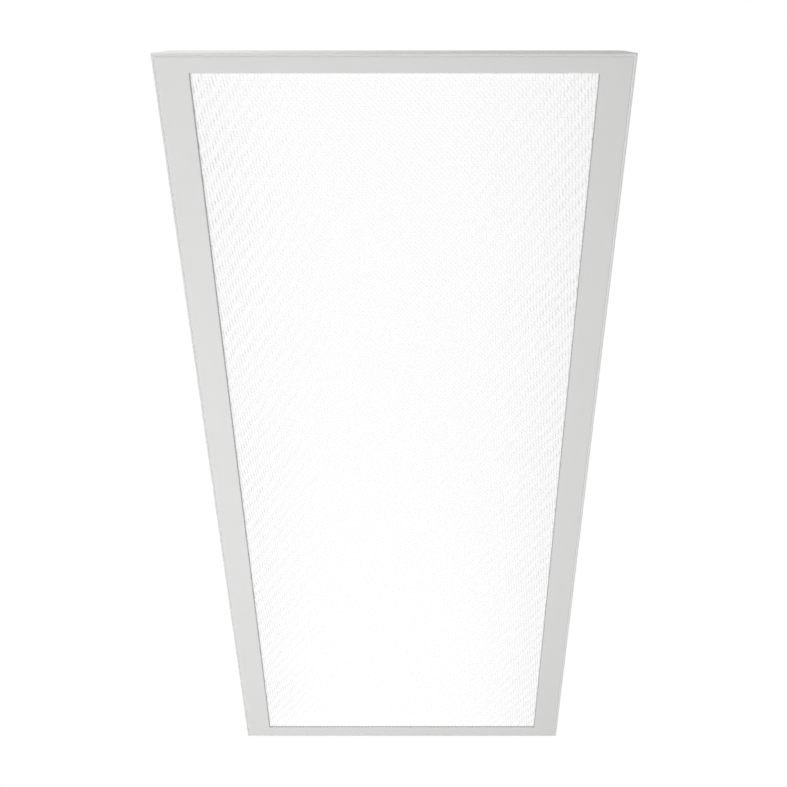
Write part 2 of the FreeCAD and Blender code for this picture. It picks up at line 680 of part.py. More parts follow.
def lens_retainers():
    """Sprung clips pushed over the upstands, their tongues on the lens."""
    half = RETAINER_SHEET / 2
    inner = DOOR_HALF_W - SIDE_RAIL + SIDE_SHELF - half
    outer = inner + SHEET + RETAINER_SHEET
    tongue_z = LENS_SEAT_Z + LENS_THICKNESS + half
    saddle_z = RISER_TOP + RETAINER_BEND + half
    points = [
        (inner - RETAINER_HOLD, tongue_z),
        (inner, tongue_z),
        (inner, saddle_z),
        (outer, saddle_z),
        (outer, saddle_z - RETAINER_DROP),
    ]
    clip = bent_sheet(points, [RETAINER_BEND] * 3, RETAINER_SHEET, RETAINER_WIDTH)
    row = [moved(clip, 0, y, 0) for y in (-RETAINER_Y, RETAINER_Y)]
    return row + [turned(one, 180) for one in row]


# ---- hinges and latches ----
def knuckle_round(radius, length, middle_y):
    start = vec(HINGE_X, middle_y - length / 2, HINGE_Z)
    return Part.makeCylinder(radius, length, start, vec(0, 1, 0))


def hinge_leaf(side):
    """The housing's half of a hinge: a knuckle hung from a plate welded under the ledge."""
    y = side * HINGE_Y
    y0 = y - HINGE_LENGTH / 2
    y1 = y + HINGE_LENGTH / 2
    outer = HINGE_X + KNUCKLE_RADIUS
    hanger = box(outer - LEAF, outer, y0, y1, HINGE_Z, LEDGE_Z)
    plate = box(outer - LEAF, -(HALF_W - LEDGE_REACH), y0, y1, LEDGE_Z - LEAF, LEDGE_Z)
    leaf = knuckle_round(KNUCKLE_RADIUS, HINGE_LENGTH, y).fuse([hanger, plate])
    leaf = leaf.cut(knuckle_round(PIN_RADIUS + PIN_RUNNING_FIT, HINGE_LENGTH, y))
    return solid_of(leaf)


def hinge_bracket(side):
    """The door's half of a hinge: two ears on a foot that lies on the back of the face."""
    y = side * HINGE_Y
    inner = HINGE_LENGTH / 2 + EAR_GAP
    outer = inner + EAR_THICKNESS
    foot_x = HINGE_X + KNUCKLE_RADIUS + BRACKET_SLACK
    bracket = box(foot_x, HINGE_X + BRACKET_REACH, y - outer, y + outer, SHEET, SHEET + BRACKET_FOOT)
    for hand in (-1, 1):
        ear_y = y + hand * (inner + outer) / 2
        ear = knuckle_round(KNUCKLE_RADIUS, EAR_THICKNESS, ear_y)
        web = box(HINGE_X, HINGE_X + EAR_REACH, ear_y - EAR_THICKNESS / 2, ear_y + EAR_THICKNESS / 2,
                  SHEET, HINGE_Z + PIN_RADIUS)
        bracket = bracket.fuse([ear, web])
    bore = knuckle_round(PIN_RADIUS + PIN_SET_FIT, 2 * outer + PAST, y)
    return solid_of(bracket.cut(bore))


def hinge_pin(side):
    y = side * HINGE_Y
    length = HINGE_LENGTH + 2 * (EAR_GAP + EAR_THICKNESS)
    head = knuckle_round(PIN_HEAD_RADIUS, PIN_HEAD, y - (length + PIN_HEAD) / 2)
    return solid_of(knuckle_round(PIN_RADIUS, length, y).fuse(head))


def latch_stud(side):
    """The pivot that stands on the back of the latch rail's face."""
    y = side * LATCH_Y
    neck_top = LATCH_Z + LATCH_THICKNESS + STUD_HEAD_GAP
    stud = hole(LATCH_X, y, STUD_RADIUS, SHEET, LATCH_Z)
    stud = stud.fuse(hole(LATCH_X, y, STUD_NECK, LATCH_Z, neck_top))
    return solid_of(stud.fuse(hole(LATCH_X, y, STUD_HEAD_RADIUS, neck_top, neck_top + STUD_HEAD)))


def latch_cam(side):
    """A turning arm, drawn in its released position along +Y."""
    y = side * LATCH_Y
    z1 = LATCH_Z + LATCH_THICKNESS
    tip_y = y + LATCH_REACH - LATCH_TIP
    arm = hole(LATCH_X, y, LATCH_HUB, LATCH_Z, z1)
    arm = arm.fuse(box(LATCH_X - LATCH_TIP, LATCH_X + LATCH_TIP, y, tip_y, LATCH_Z, z1))
    arm = arm.fuse(hole(LATCH_X, tip_y, LATCH_TIP, LATCH_Z, z1))
    bore = hole(LATCH_X, y, STUD_NECK + PIN_RUNNING_FIT, LATCH_Z - PAST, z1 + PAST)
    return solid_of(arm.cut(bore))


# ---- fasteners ----
def standing(part, places, z):
    return [moved(part, x, y, z) for x, y in places]


def hanging(part, places, z):
    """The fastener with its head down at z."""
    over = part.copy()
    over.rotate(vec(0, 0, 0), vec(1, 0, 0), 180)
    return [moved(over, x, y, z) for x, y in places]


def save_fasteners():
    save("gear_tray_screws", *standing(fastener(2 * SHEET), tray_screw_places(), BODY_DEPTH))
    save("access_plate_screws",
         *standing(fastener(SHEET + ACCESS_PLATE), access_screw_places(), BODY_DEPTH + ACCESS_PLATE))
    save("ground_screw", *hanging(fastener(SHEET), [(GROUND_SCREW_X, ACCESS_Y)], TOP_UNDER))
    save("driver_screws",
         *standing(fastener(SHEET + DRIVER_TAB_THICKNESS), driver_screw_places(),
                   TRAY_TOP + DRIVER_TAB_THICKNESS))
    save("led_board_screws",
         *hanging(fastener(SHEET + BOARD_THICKNESS, BOARD_SCREW_HEAD), board_screw_places(),
                  BOARD_FACE_Z))


def save_housing():
    save("housing_pan", housing_pan())
    plate = end_plate()
    save("end_plate_far", plate)
    save("end_plate_near", turned(plate, 180))
    save("access_plate", access_plate())
    save("gear_tray", gear_tray())
    for row, end, x, y in board_places():
        save("led_board_" + row + "_" + end, led_board(x, y))
    save("driver_case", driver_case())
    save("supply_terminal_block", terminal_block(-1))
    save("output_terminal_block", terminal_block(1))
    save("lead_bushings", *[lead_bushing(row_x + BUSHING_OFFSET, y) for row_x, way_x, y in lead_places()])
    save("lead_connectors", *[lead_connector(row_x, y) for row_x, way_x, y in lead_places()])
    save("board_links", *[board_link(x) for x in centred(len(ROWS), BOARD_ROW_PITCH)])
    for row, place in zip(ROWS, lead_places()):
        save("output_lead_" + row, lead(*place))
    clip = grid_clip()
    for end, side in ENDS.items():
        for hand, x in (("left", -CLIP_X), ("right", CLIP_X)):
            save("grid_clip_" + end + "_" + hand, mirrored(moved(clip, x, 0, 0), 1, side))


def save_door():
    save("door_rail_latch", solid_of(side_rail()))
    save("door_rail_hinge", hinge_rail())
    rail = end_rail()
    save("door_rail_far", rail)
    save("door_rail_near", turned(rail, 180))
    gusset = corner_gusset()
    for end, y in ENDS.items():
        for hand, x in (("hinge", -1), ("latch", 1)):
            save("corner_gusset_" + end + "_" + hand, mirrored(gusset, x, y))
    save("lens", lens())
    save("lens_retainers", *lens_retainers())
    for end, side in ENDS.items():
        save("hinge_leaf_" + end, hinge_leaf(side))
        save("hinge_bracket_" + end, hinge_bracket(side))
        save("hinge_pin_" + end, hinge_pin(side))
        save("latch_stud_" + end, latch_stud(side))
        save("latch_cam_" + end, latch_cam(side))


def main():
    os.makedirs("parts", exist_ok=True)
    save_housing()
    save_door()
    save_fasteners()


main()
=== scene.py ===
"""Dresses the recessed troffer light: enamel, prismatic lens, boards, driver, studio."""

import json
import logging
import math
from dataclasses import dataclass, field
from enum import Enum
from typing import Any, Protocol, Sequence, Union

import bmesh
import bpy
from mathutils import Matrix, Vector

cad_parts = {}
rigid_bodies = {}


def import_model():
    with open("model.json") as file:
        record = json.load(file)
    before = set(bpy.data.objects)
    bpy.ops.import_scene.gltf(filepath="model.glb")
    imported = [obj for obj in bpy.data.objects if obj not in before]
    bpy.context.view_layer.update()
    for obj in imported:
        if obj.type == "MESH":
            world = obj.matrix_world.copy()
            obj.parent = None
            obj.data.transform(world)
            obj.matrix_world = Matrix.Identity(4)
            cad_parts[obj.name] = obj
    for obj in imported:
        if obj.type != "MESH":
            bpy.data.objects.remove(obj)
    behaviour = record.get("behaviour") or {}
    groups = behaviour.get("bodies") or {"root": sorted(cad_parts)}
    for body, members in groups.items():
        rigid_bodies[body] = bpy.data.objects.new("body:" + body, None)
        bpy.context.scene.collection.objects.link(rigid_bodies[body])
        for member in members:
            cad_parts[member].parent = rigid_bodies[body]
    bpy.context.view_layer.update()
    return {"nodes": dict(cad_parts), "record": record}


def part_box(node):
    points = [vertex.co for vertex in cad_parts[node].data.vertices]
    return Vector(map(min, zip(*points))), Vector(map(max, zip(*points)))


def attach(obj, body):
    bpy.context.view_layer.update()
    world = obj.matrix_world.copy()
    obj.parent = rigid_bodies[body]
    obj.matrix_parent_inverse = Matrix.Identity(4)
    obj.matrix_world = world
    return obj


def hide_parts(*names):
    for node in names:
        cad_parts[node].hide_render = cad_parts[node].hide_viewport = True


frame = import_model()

MM = 0.001
LOG = logging.getLogger("troffer")
BLACK = (0.0, 0.0, 0.0, 1.0)
WHITE = (1.0, 1.0, 1.0, 1.0)

Number = Union[int, float]
Colour = tuple[float, float, float]


class Body(Enum):
    """The bodies that a dressed piece can ride on."""

    DOOR = "door"


class Value:
    """A shader socket that takes part in Python arithmetic."""

    def __init__(self, graph: "Graph", socket: bpy.types.NodeSocket) -> None:
        """Keeps the socket and the graph that it belongs to.

        Args:
            graph: The graph that the arithmetic adds nodes to.
            socket: The output socket to work with.
        """
        self.graph = graph
        self.socket = socket

    def _math(self, operation: str, *others: Union["Value", Number]) -> "Value":
        """Adds one Math node.

        Args:
            operation: The Math node's operation.
            others: The further operands.

        Returns:
            The node's result.
        """
        inputs = dict(enumerate((self, *others)))
        node = self.graph.node("ShaderNodeMath", {"operation": operation}, inputs)
        return Value(self.graph, node.outputs[0])

    def __add__(self, other: Union["Value", Number]) -> "Value":
        """Sum."""
        return self._math("ADD", other)

    __radd__ = __add__

    def __sub__(self, other: Union["Value", Number]) -> "Value":
        """Difference."""
        return self._math("SUBTRACT", other)

    def __rsub__(self, other: Number) -> "Value":
        """A number less this value."""
        return (self * -1.0) + other

    def __mul__(self, other: Union["Value", Number]) -> "Value":
        """Product."""
        return self._math("MULTIPLY", other)

    __rmul__ = __mul__

    def __truediv__(self, other: Union["Value", Number]) -> "Value":
        """Quotient."""
        return self._math("DIVIDE", other)

    def __pow__(self, other: Number) -> "Value":
        """Power."""
        return self._math("POWER", other)

    def __abs__(self) -> "Value":
        """Magnitude."""
        return self._math("ABSOLUTE")

    def cosine(self) -> "Value":
        """Cosine of this value in radians."""
        return self._math("COSINE")

    def at_least(self, other: Union["Value", Number]) -> "Value":
        """The larger of the two."""
        return self._math("MAXIMUM", other)

    def at_most(self, other: Union["Value", Number]) -> "Value":
        """The smaller of the two."""
        return self._math("MINIMUM", other)

    def below(self, other: Union["Value", Number]) -> "Value":
        """One where this value is less than the other, zero elsewhere."""
        return self._math("LESS_THAN", other)

    def wrapped(self, period: Number) -> "Value":
        """The distance to the nearest whole multiple of a period."""
        return self._math("PINGPONG", period / 2)

    def eased(self, low: Number, high: Number) -> "Value":
        """A smooth step between two levels.

        Args:
            low: The level where the step is zero.
            high: The level where it reaches one.

        Returns:
            The step.
        """
        settings = {"interpolation_type": "SMOOTHSTEP"}
        node = self.graph.node("ShaderNodeMapRange", settings, {0: self, 1: low, 2: high})
        return Value(self.graph, node.outputs[0])


class Graph:
    """The nodes of one material or world."""

    def __init__(self, tree: bpy.types.NodeTree) -> None:
        """Empties the tree.

        Args:
            tree: The node tree to build in.
        """
        self.tree = tree
        self.tree.nodes.clear()

    def node(self, kind: str, settings: dict[str, Any], inputs: dict[Any, Any]) -> bpy.types.Node:
        """Adds a node of any type.

        Args:
            kind: The node's type.
            settings: Its properties.
            inputs: Numbers, colours or links, by socket name or place.

        Returns:
            The node.
        """
        made = self.tree.nodes.new(kind)
        for key, value in settings.items():
            setattr(made, key, value)
        for key, value in inputs.items():
            if isinstance(value, Value):
                value = value.socket
            if isinstance(value, bpy.types.NodeSocket):
                self.tree.links.new(value, made.inputs[key])
            else:
                made.inputs[key].default_value = value
        return made


class Shader(Graph):
    """One material and the nodes in it."""

    def __init__(self, name: str) -> None:
        """Makes an empty material.

        Args:
            name: The material's name.
        """
        self.material = bpy.data.materials.new(name)
        self.material.use_nodes = True
        super().__init__(self.material.node_tree)

    def place(self) -> dict[str, Value]:
        """The object coordinates, in metres.

        Returns:
            The three parts by the names x, y and z, and the whole vector as all.
        """
        coordinates = self.node("ShaderNodeTexCoord", {}, {})
        parts = self.node("ShaderNodeSeparateXYZ", {}, {0: coordinates.outputs["Object"]})
        found = {axis: Value(self, parts.outputs[i]) for i, axis in enumerate("xyz")}
        found["all"] = Value(self, coordinates.outputs["Object"])
        return found

    def stretched(self, vector: Value, scale: Sequence[float]) -> Value:
        """Scales a vector part by part.

        Args:
            vector: The vector.
            scale: The three factors.

        Returns:
            The scaled vector.
        """
        node = self.node("ShaderNodeVectorMath", {"operation": "MULTIPLY"}, {0: vector, 1: tuple(scale)})
        return Value(self, node.outputs[0])

    def noise(self, vector: Value, scale: float, detail: float = 2.0) -> Value:
        """Cloudy noise about one half.

        Args:
            vector: Where to read it.
            scale: Cells to the metre.
            detail: Number of finer layers.

        Returns:
            The noise.
        """
        inputs = {"Vector": vector, "Scale": scale, "Detail": detail}
        return Value(self, self.node("ShaderNodeTexNoise", {}, inputs).outputs[0])

    def mixed(self, factor: Value, first: Any, second: Any) -> Value:
        """Blends two colours.

        Args:
            factor: Zero for the first, one for the second.
            first: A colour or a link.
            second: A colour or a link.

        Returns:
            The blended colour.
        """
        settings = {"data_type": "RGBA"}
        node = self.node("ShaderNodeMix", settings, {0: factor, 6: first, 7: second})
        return Value(self, node.outputs[2])

    def bump(self, height: Value, distance: float, strength: float = 1.0) -> Value:
        """Turns a height into a normal.

        Args:
            height: The height, about zero to one.
            distance: The height of one, in metres.
            strength: How much of it shows.

        Returns:
            The normal.
        """
        inputs = {"Height": height, "Distance": distance, "Strength": strength}
        return Value(self, self.node("ShaderNodeBump", {}, inputs).outputs[0])

    def finished(self, inputs: dict[str, Any]) -> bpy.types.Material:
        """Ends the material with one Principled shader.

        Args:
            inputs: Its sockets' numbers, colours or links.

        Returns:
            The material.
        """
        skin = self.node("ShaderNodeBsdfPrincipled", {}, inputs)
        self.node("ShaderNodeOutputMaterial", {}, {"Surface": skin.outputs[0]})
        return self.material


def solid(colour: Sequence[float], factor: float = 1.0) -> tuple[float, float, float, float]:
    """A colour times a factor, none of it above one, with full alpha."""
    return (*(min(1.0, part * factor) for part in colour), 1.0)


class Finish(Protocol):
    """Anything that can make a material."""

    def make(self) -> bpy.types.Material:
        """Builds the material."""


@dataclass(frozen=True)
class Enamel:
    """Baked enamel over steel, with a fine orange peel, faint cloudiness, painted shade along the rails' inner
    lip and a painted glow in the gap round the door.
    """

    name: str
    colour: Colour
    roughness: float = 0.42
    roughness_spread: float = 0.06
    roughness_scale: float = 60.0
    cloud_scale: float = 7.0
    cloud_detail: float = 3.0
    cloud_contrast: float = 0.06
    darkest: float = 0.8
    lightest: float = 1.2
    peel_scale: float = 900.0
    peel_depth: float = 0.012 * MM
    painted_gap_glow: float = 0.25
    gap_roll: float = 2.2 * MM
    gap_hem: float = 0.6 * MM
    gap_foot: float = 0.1 * MM
    gap_full: float = 1.4 * MM
    gap_top: float = 11.4 * MM
    lip_start: float = -0.1 * MM
    lip_width: float = 1.2 * MM
    lip_height: float = 3.0 * MM
    lip_shade: float = 0.4

    def make(self) -> bpy.types.Material:
        """Builds the material.

        Returns:
            The material.
        """
        shader = Shader(self.name)
        where = shader.place()
        clouds = shader.noise(where["all"], self.cloud_scale, self.cloud_detail)
        tone = (clouds - 0.5) * self.cloud_contrast + 0.5
        colour = shader.mixed(tone, solid(self.colour, self.darkest), solid(self.colour, self.lightest))
        # Painted shade: the colour is darkened toward black along the inner lip of the long rails.
        colour = shader.mixed(self._lip_shade_mask(where) * self.lip_shade, colour, BLACK)
        peel = shader.noise(where["all"], self.peel_scale)
        mottle = shader.noise(where["all"], self.roughness_scale) - 0.5
        return shader.finished({
            "Base Color": colour,
            "Roughness": mottle * self.roughness_spread + self.roughness,
            "Normal": shader.bump(peel, self.peel_depth),
            # Painted light: the enamel glows in the narrow gap round the door, though it is no lamp.
            "Emission Color": shader.mixed(self._gap_glow_mask(where), BLACK, solid(self.colour)),
            "Emission Strength": self.painted_gap_glow,
        })

    def _lip_shade_mask(self, where: dict[str, Value]) -> Value:
        """Finds the inner edges of the long rails, where the sheet turns up to its shelf and the colour is
        darkened as painted shade.

        Args:
            where: The object coordinates.

        Returns:
            One at those edges, fading to zero across the lip's width.
        """
        past_side = abs(where["x"]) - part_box("door_rail_latch")[0][0]
        beside = past_side.eased(self.lip_start, 0.0) * (1.0 - past_side.eased(0.0, self.lip_width))
        between = abs(where["y"]).below(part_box("door_rail_far")[0][1])
        return beside * between * where["z"].below(self.lip_height)

    def _gap_glow_mask(self, where: dict[str, Value]) -> Value:
        """Finds the narrow gap round the door, where the enamel is given a painted glow for the light passed
        from wall to wall.

        Args:
            where: The object coordinates.

        Returns:
            One in the gap, zero elsewhere.
        """
        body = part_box("housing_pan")[1]
        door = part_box("door_rail_latch")[1]
        x, y = abs(where["x"]), abs(where["y"])
        inside = x.below(body[0] - self.gap_hem) * y.below(body[1] - self.gap_hem)
        outer = 1.0 - x.below(door[0] - self.gap_roll) * y.below(door[1] - self.gap_roll)
        height = where["z"].eased(self.gap_foot, self.gap_full) * where["z"].below(self.gap_top)
        return inside * outer * height


@dataclass(frozen=True)
class PrismAcrylic:
    """Clear acrylic lit from behind, the light through its prisms painted as fine dark strokes in slanting
    rows.
    """

    name: str
    colour: Colour = (0.47, 0.47, 0.47)
    glow: Colour = (0.554, 0.554, 0.5562)
    roughness: float = 0.22
    ior: float = 1.49
    row: tuple[float, float] = (57.0, 45.0)
    stroke: tuple[float, float] = (226.0, -24.0)
    cross: tuple[float, float] = (124.0, -74.0)
    cross_share: float = 0.3
    wander_scale: float = 45.0
    wander: float = 5.0
    cross_wander: float = 0.5
    speckle_scale: float = 420.0
    speckle: float = 1.2
    depth: float = 0.42
    least_depth: float = 0.02
    depth_rise: float = 2.2
    band_stretch: Colour = (2.0, 14.0, 1.0)
    band_spread: float = 1.1
    band_base: float = 0.45
    side_shade: float = 0.035
    side_rise: float = 4.0
    edge_width: float = 0.5 * MM
    edge_shade: float = 0.55

    def _wave(self, where: dict[str, Value], lines: tuple[float, float], wander: Value) -> Value:
        """Straight waves, pushed about by a little noise.

        Args:
            where: The object coordinates.
            lines: How many waves to the metre along x and along y.
            wander: What is added to the phase.

        Returns:
            The waves, from minus one to one.
        """
        turn = 2 * math.pi
        phase = where["x"] * (turn * lines[0]) + where["y"] * (turn * lines[1]) + wander
        return phase.cosine()

    def _strokes(self, shader: Shader, where: dict[str, Value], aside: Value) -> Value:
        """Draws the fine dark strokes of painted shade, stronger toward the long sides.

        Args:
            shader: The material.
            where: The object coordinates.
            aside: Zero on the centre line, one at the long sides.

        Returns:
            How dark the strokes are.
        """
        wander = (shader.noise(where["all"], self.wander_scale) - 0.5) * self.wander
        rows = self._wave(where, self.row, wander) * 0.5 + 0.5
        strokes = self._wave(where, self.stroke, wander).at_least(0.0)
        crossing = self._wave(where, self.cross, wander * self.cross_wander) * 0.5 + 0.5
        speckle = shader.noise(where["all"], self.speckle_scale, 1.0) * self.speckle
        dash = strokes * (rows * (1.0 - self.cross_share) + crossing * self.cross_share) * speckle
        bands = shader.noise(shader.stretched(where["all"], self.band_stretch), 1.0, 1.0)
        reach = bands * self.band_spread + self.band_base
        return dash * ((aside ** self.depth_rise) * reach * self.depth + self.least_depth)

    def make(self) -> bpy.types.Material:
        """Builds the material.

        Returns:
            The material.
        """
        shader = Shader(self.name)
        where = shader.place()
        half_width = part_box("door_rail_latch")[0][0]
        half_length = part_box("door_rail_far")[0][1]
        aside = abs(where["x"]) / half_width
        # Painted shade: the colour and the glow are both darkened in fine strokes, toward the long sides, and
        # within the edge width of the lens's border.
        dimmer = (aside ** self.side_rise) * self.side_shade
        to_edge = (half_width - abs(where["x"])).at_most(half_length - abs(where["y"]))
        edge = (1.0 - to_edge.eased(0.0, self.edge_width)) * self.edge_shade
        level = (1.0 - self._strokes(shader, where, aside) - dimmer) * (1.0 - edge)
        return shader.finished({
            "Base Color": shader.mixed(level, BLACK, solid(self.colour)),
            "Emission Color": shader.mixed(level, BLACK, solid(self.glow)),
            "Emission Strength": 1.0,
            "Roughness": self.roughness,
            "IOR": self.ior,
        })


@dataclass(frozen=True)
class PlatedSteel:
    """Zinc-plated or spring steel with rolling lines and a faint bloom."""

    name: str
    colour: Colour
    roughness: float = 0.34
    dullest: float = 0.72
    line_stretch: Colour = (2600.0, 90.0, 2600.0)
    line_roughness: float = 0.14
    line_depth: float = 0.006 * MM
    bloom_scale: float = 240.0
    bloom_detail: float = 3.0
    bloom_roughness: float = 0.08
    bloom_range: tuple[float, float] = (0.3, 0.7)
    polish: float = 0.1

    def make(self) -> bpy.types.Material:
        """Builds the material.

        Returns:
            The material.
        """
        shader = Shader(self.name)
        where = shader.place()
        lines = shader.noise(shader.stretched(where["all"], self.line_stretch), 1.0)
        bloom = shader.noise(where["all"], self.bloom_scale, self.bloom_detail)
        spread = lines * self.line_roughness + bloom * self.bloom_roughness
        clear = bloom.eased(*self.bloom_range)
        return shader.finished({
            "Base Color": shader.mixed(clear, solid(self.colour, self.dullest), solid(self.colour)),
            "Metallic": 1.0,
            "Roughness": spread + (self.roughness - self.polish),
            "Normal": shader.bump(lines, self.line_depth),
        })


@dataclass(frozen=True)
class BoardMask:
    """White solder mask with copper tracks under it and yellow phosphor on its packages."""

    name: str
    mask: Colour = (0.86, 0.87, 0.84)
    track: Colour = (0.74, 0.77, 0.72)
    package: Colour = (0.90, 0.90, 0.88)
    phosphor: Colour = (0.95, 0.80, 0.30)
    glow: Colour = (0.55, 0.5115, 0.396)
    board_spacing: float = 115.0 * MM
    package_height: float = 1.6 * MM
    package_step: float = 37.0 * MM
    track_place: float = 8.0 * MM
    track_edge: tuple[float, float] = (0.5 * MM, 0.8 * MM)
    link_place: float = 7.0 * MM
    link_edge: tuple[float, float] = (0.3 * MM, 0.5 * MM)
    track_tint: float = 0.8
    package_slack: float = 0.05 * MM
    lens_slack: float = 0.02 * MM
    grain_scale: float = 700.0
    grain_depth: float = 0.15
    roughness: float = 0.25
    relief: float = 0.03 * MM

    def _tracks(self, where: dict[str, Value]) -> Value:
        """Finds the copper under the mask.

        Args:
            where: The object coordinates.

        Returns:
            One over a track, zero elsewhere.
        """
        across = where["x"].wrapped(self.board_spacing)
        along = where["y"].wrapped(self.package_step)
        track = 1.0 - abs(across - self.track_place).eased(*self.track_edge)
        link = 1.0 - abs(along - self.link_place).eased(*self.link_edge)
        return track.at_least(link * across.below(self.track_place))

    def make(self) -> bpy.types.Material:
        """Builds the material.

        Returns:
            The material.
        """
        shader = Shader(self.name)
        where = shader.place()
        low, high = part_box("led_board_middle_far")
        tracks = self._tracks(where)
        grain = shader.noise(where["all"], self.grain_scale) * self.grain_depth
        package = where["z"].below(high[2] - self.package_height - self.package_slack)
        lens = where["z"].below(low[2] + self.lens_slack)
        colour = shader.mixed(tracks * self.track_tint, solid(self.mask), solid(self.track))
        colour = shader.mixed(package, colour, solid(self.package))
        return shader.finished({
            "Base Color": shader.mixed(lens, colour, solid(self.phosphor)),
            "Emission Color": shader.mixed(lens, BLACK, solid(self.glow)),
            "Emission Strength": 1.0,
            "Roughness": grain + self.roughness,
            "Normal": shader.bump(tracks + grain, self.relief),
        })


@dataclass(frozen=True)
class Moulding:
    """Moulded plastic with a spark-eroded texture."""

    name: str
    colour: Colour
    roughness: float = 0.45
    dullest: float = 0.9
    grain_scale: float = 1800.0
    grain_detail: float = 3.0
    grain_roughness: float = 0.2
    grain_depth: float = 0.02 * MM
    cloud_scale: float = 90.0

    def make(self) -> bpy.types.Material:
        """Builds the material.

        Returns:
            The material.
        """
        shader = Shader(self.name)
        where = shader.place()
        grain = shader.noise(where["all"], self.grain_scale, self.grain_detail)
        clouds = shader.noise(where["all"], self.cloud_scale)
        return shader.finished({
            "Base Color": shader.mixed(clouds, solid(self.colour, self.dullest), solid(self.colour)),
            "Roughness": (grain - 0.5) * self.grain_roughness + self.roughness,
            "Normal": shader.bump(grain, self.grain_depth),
        })


@dataclass
class Wardrobe:
    """The finishes, one for each material slot of the record."""

    finishes: dict[str, Finish] = field(default_factory=lambda: {
        "white_enamel": Enamel("white_enamel", (0.75, 0.75, 0.745)),
        "inner_enamel": Enamel("inner_enamel", (0.86, 0.86, 0.855), roughness=0.5),
        "prismatic_acrylic": PrismAcrylic("prismatic_acrylic"),
        "zinc_steel": PlatedSteel("zinc_steel", (0.62, 0.64, 0.66)),
        "spring_steel": PlatedSteel("spring_steel", (0.42, 0.43, 0.45), 0.28),
        "board_white": BoardMask("board_white"),
        "driver_metal": Enamel("driver_metal", (0.70, 0.70, 0.68), roughness=0.36),
        "black_nylon": Moulding("black_nylon", (0.025, 0.025, 0.027), 0.4),
        "wire_jacket": Moulding("wire_jacket", (0.74, 0.74, 0.72), 0.35),
        "terminal_plastic": Moulding("terminal_plastic", (0.78, 0.77, 0.72)),
        "ground_green": PlatedSteel("ground_green", (0.05, 0.30, 0.10)),
    })
    made: dict[str, bpy.types.Material] = field(default_factory=dict)

    def get(self, name: str) -> bpy.types.Material:
        """Finds a finish's material, and makes it when first asked.

        Args:
            name: The finish, by its slot in the record.

        Returns:
            The material.
        """
        if name not in self.made:
            self.made[name] = self.finishes[name].make()
        return self.made[name]

    def dress_nodes(self) -> None:
        """Puts the finishes on the nodes that stay as they are."""
        slots = {s["node"]: s["material_slot"] for s in frame["record"]["subparts"]}
        for name, node in frame["nodes"].items():
            finish = slots[name]
            for holder in [node] + list(node.children_recursive):
                if holder.type == "MESH":
                    for slot in holder.material_slots:
                        slot.material = self.get(finish)
        LOG.info("dressed %d nodes", len(slots))


def new_piece(name: str, mesh: bmesh.types.BMesh, material: bpy.types.Material, body: Body) -> bpy.types.Object:
    """Turns a bmesh into a piece that rides on a body.

    Args:
        name: The piece's name.
        mesh: Its shape, which is freed.
        material: Its material.
        body: What it moves with.

    Returns:
        The piece.
    """
    data = bpy.data.meshes.new(name)
    mesh.to_mesh(data)
    mesh.free()
    data.materials.append(material)
    piece = bpy.data.objects.new(name, data)
    bpy.context.scene.collection.objects.link(piece)
    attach(piece, body.value)
    LOG.info("%s: %d faces", name, len(data.polygons))
    return piece


@dataclass
class PrismLens:
    """The lens, its underside covered in small pyramids set at 45 degrees."""

    wardrobe: Wardrobe
    pitch: float = 4.7625 * MM
    sink: float = 1.1 * MM
    turn: float = math.radians(45)
    cut_slack: float = 0.0001 * MM

    def build(self) -> None:
        """Makes the lens and puts it in the plain one's place."""
        low, high = (Vector(corner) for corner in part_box("lens"))
        mesh = bmesh.new()
        reach = (high.x - low.x + high.y - low.y) / (2 * math.sqrt(2))
        count = math.ceil(2 * reach / self.pitch)
        size = count * self.pitch / 2
        bmesh.ops.create_grid(mesh, x_segments=count, y_segments=count, size=size)
        bmesh.ops.rotate(mesh, cent=(0, 0, 0), matrix=Matrix.Rotation(self.turn, 3, "Z"),
                         verts=mesh.verts)
        bmesh.ops.translate(mesh, vec=(0, 0, low.z), verts=mesh.verts)
        self._drop_outside(mesh, high)
        bmesh.ops.poke(mesh, faces=mesh.faces, offset=self.sink, center_mode="MEAN")
        self._trim(mesh, low, high)
        self._close(mesh, high.z)
        piece = new_piece("prismatic_lens", mesh, self.wardrobe.get("prismatic_acrylic"), Body.DOOR)
        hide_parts("lens")

    def _drop_outside(self, mesh: bmesh.types.BMesh, high: Vector) -> None:
        """Deletes the cells that lie wholly past the lens's edge.

        Args:
            mesh: The sheet of cells.
            high: The upper corner of the lens's box.
        """
        gone = []
        for face in mesh.faces:
            middle = face.calc_center_median()
            if abs(middle.x) > high.x + self.pitch or abs(middle.y) > high.y + self.pitch:
                gone.append(face)
        bmesh.ops.delete(mesh, geom=gone, context="FACES")

    def _trim(self, mesh: bmesh.types.BMesh, low: Vector, high: Vector) -> None:
        """Cuts the sheet of pyramids along the four edges.

        Args:
            mesh: The sheet of pyramids.
            low: The lower corner of the lens's box.
            high: The upper corner.
        """
        for point, normal in ((low, (-1, 0, 0)), (low, (0, -1, 0)), (high, (1, 0, 0)), (high, (0, 1, 0))):
            geometry = list(mesh.verts) + list(mesh.edges) + list(mesh.faces)
            bmesh.ops.bisect_plane(mesh, geom=geometry, dist=self.cut_slack, plane_co=point,
                                   plane_no=normal, clear_outer=True)

    @staticmethod
    def _close(mesh: bmesh.types.BMesh, top: float) -> None:
        """Raises walls from the rim, and closes them with a flat top.

        Args:
            mesh: The trimmed sheet of pyramids.
            top: The height of the flat top.
        """
        rim = [edge for edge in mesh.edges if edge.is_boundary]
        walls = bmesh.ops.extrude_edge_only(mesh, edges=rim)["geom"]
        for vertex in [part for part in walls if isinstance(part, bmesh.types.BMVert)]:
            vertex.co.z = top
        bmesh.ops.holes_fill(mesh, edges=[edge for edge in mesh.edges if edge.is_boundary], sides=0)
        bmesh.ops.recalc_face_normals(mesh, faces=mesh.faces)


